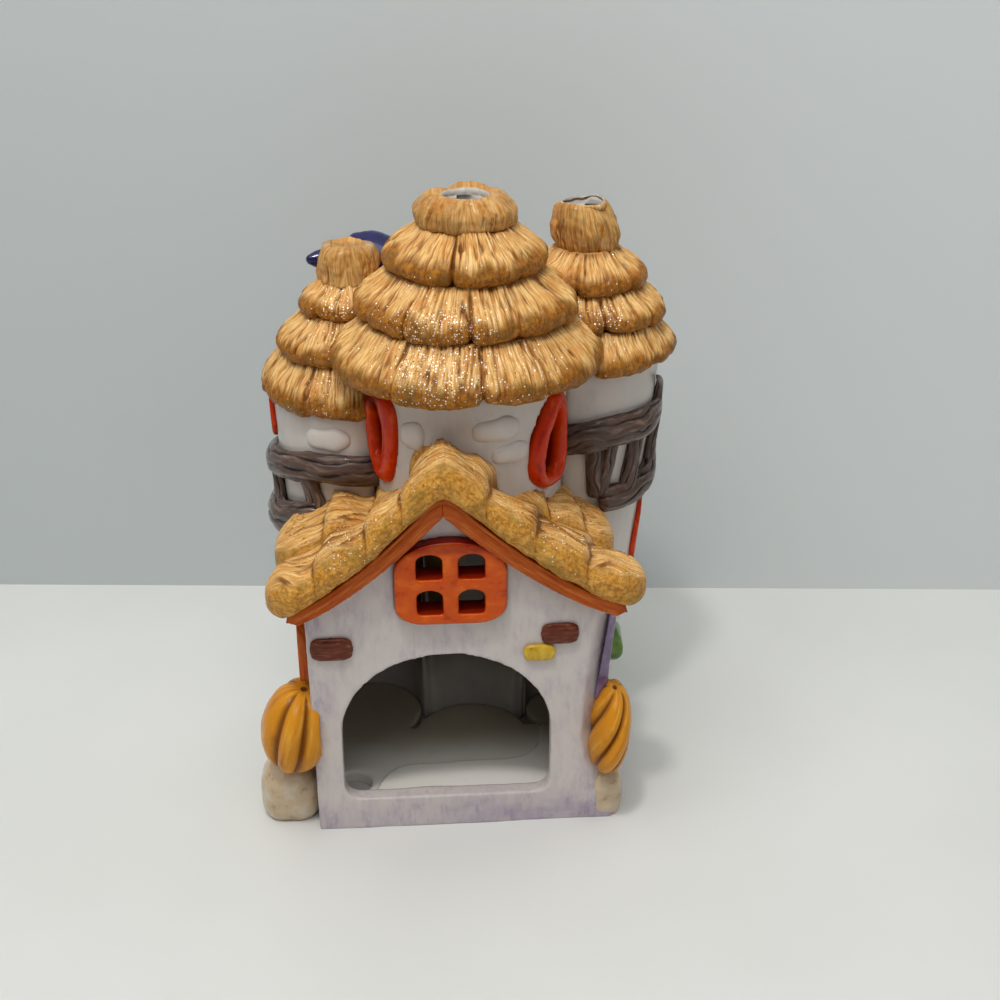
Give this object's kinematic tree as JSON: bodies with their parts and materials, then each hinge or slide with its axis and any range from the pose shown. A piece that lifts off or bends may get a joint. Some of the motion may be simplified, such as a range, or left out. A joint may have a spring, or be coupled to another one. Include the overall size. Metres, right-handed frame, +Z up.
{
  "type": "ceramic house luminary",
  "caption": "Hollow glazed pottery cottage with a thatched gable, round towers, open chimneys and an arched mouth that takes a tealight candle.",
  "frame": {"origin": "on the underside of the floor, under the middle of the room, at table height", "axes": "+Z up along the towers, the arched mouth faces -Y, and +X is to the right as seen from the front"},
  "size_m": [0.116, 0.0848, 0.165],
  "materials": {
    "wall": "white glaze with a purple wash rubbed into the brush marks, glossy",
    "stone": "pale glaze over a modelled stone, glossy",
    "thatch": "straw ochre glaze, burnt brown in the grooves, glossy, with silver glitter in places",
    "orange": "orange-red glaze, streaked darker, glossy",
    "rail": "dark grey-brown glaze, streaked",
    "brown": "maroon-brown glaze, glossy",
    "yellow": "yellow glaze, glossy",
    "pumpkin": "ochre-orange glaze, brown in the grooves, glossy",
    "foot": "mottled beige glaze",
    "purple": "dull purple glaze",
    "leaf": "leaf green glaze",
    "navy": "navy blue glaze, very glossy",
    "inside": "cream clear glaze pooled on the floor, very glossy"
  },
  "bodies": {
    "root": {"base_floor": "inside", "house_front_wall": "wall", "house_left_wall": "wall", "house_right_wall": "wall", "centre_tower_wall": "wall", "left_tower_wall": "wall", "right_tower_wall": "wall", "gable_thatch_left_front": "thatch", "gable_thatch_left_rear": "thatch", "barge_board_left": "orange", "gable_thatch_right_front": "thatch", "gable_thatch_right_rear": "thatch", "barge_board_right": "orange", "gable_window": "orange", "centre_roof_skirt": "thatch", "centre_roof_middle": "thatch", "centre_roof_upper": "thatch", "centre_chimney": "thatch", "left_roof_skirt": "thatch", "left_roof_middle": "thatch", "left_roof_upper": "thatch", "left_chimney": "thatch", "right_roof_skirt": "thatch", "right_roof_middle": "thatch", "right_roof_upper": "thatch", "right_chimney": "thatch", "centre_window_left": "orange", "centre_window_right": "orange", "left_tower_window": "orange", "right_tower_door": "orange", "left_top_rail": "rail", "left_bottom_rail": "rail", "right_top_rail": "rail", "right_bottom_rail": "rail", "left_baluster_1": "rail", "left_baluster_2": "rail", "right_baluster_1": "rail", "right_baluster_2": "rail", "right_baluster_3": "rail", "right_baluster_4": "rail", "brick_brown_left": "brown", "brick_brown_right": "brown", "brick_yellow": "yellow", "centre_stone_1": "stone", "centre_stone_2": "stone", "centre_stone_3": "stone", "left_stone": "stone", "foot_stone_left": "foot", "pumpkin_left": "pumpkin", "foot_stone_right": "foot", "pumpkin_right": "pumpkin", "side_shutter": "purple", "vine_leaf": "leaf", "side_window": "orange", "navy_horn": "navy"}
  },
  "joints": []
}
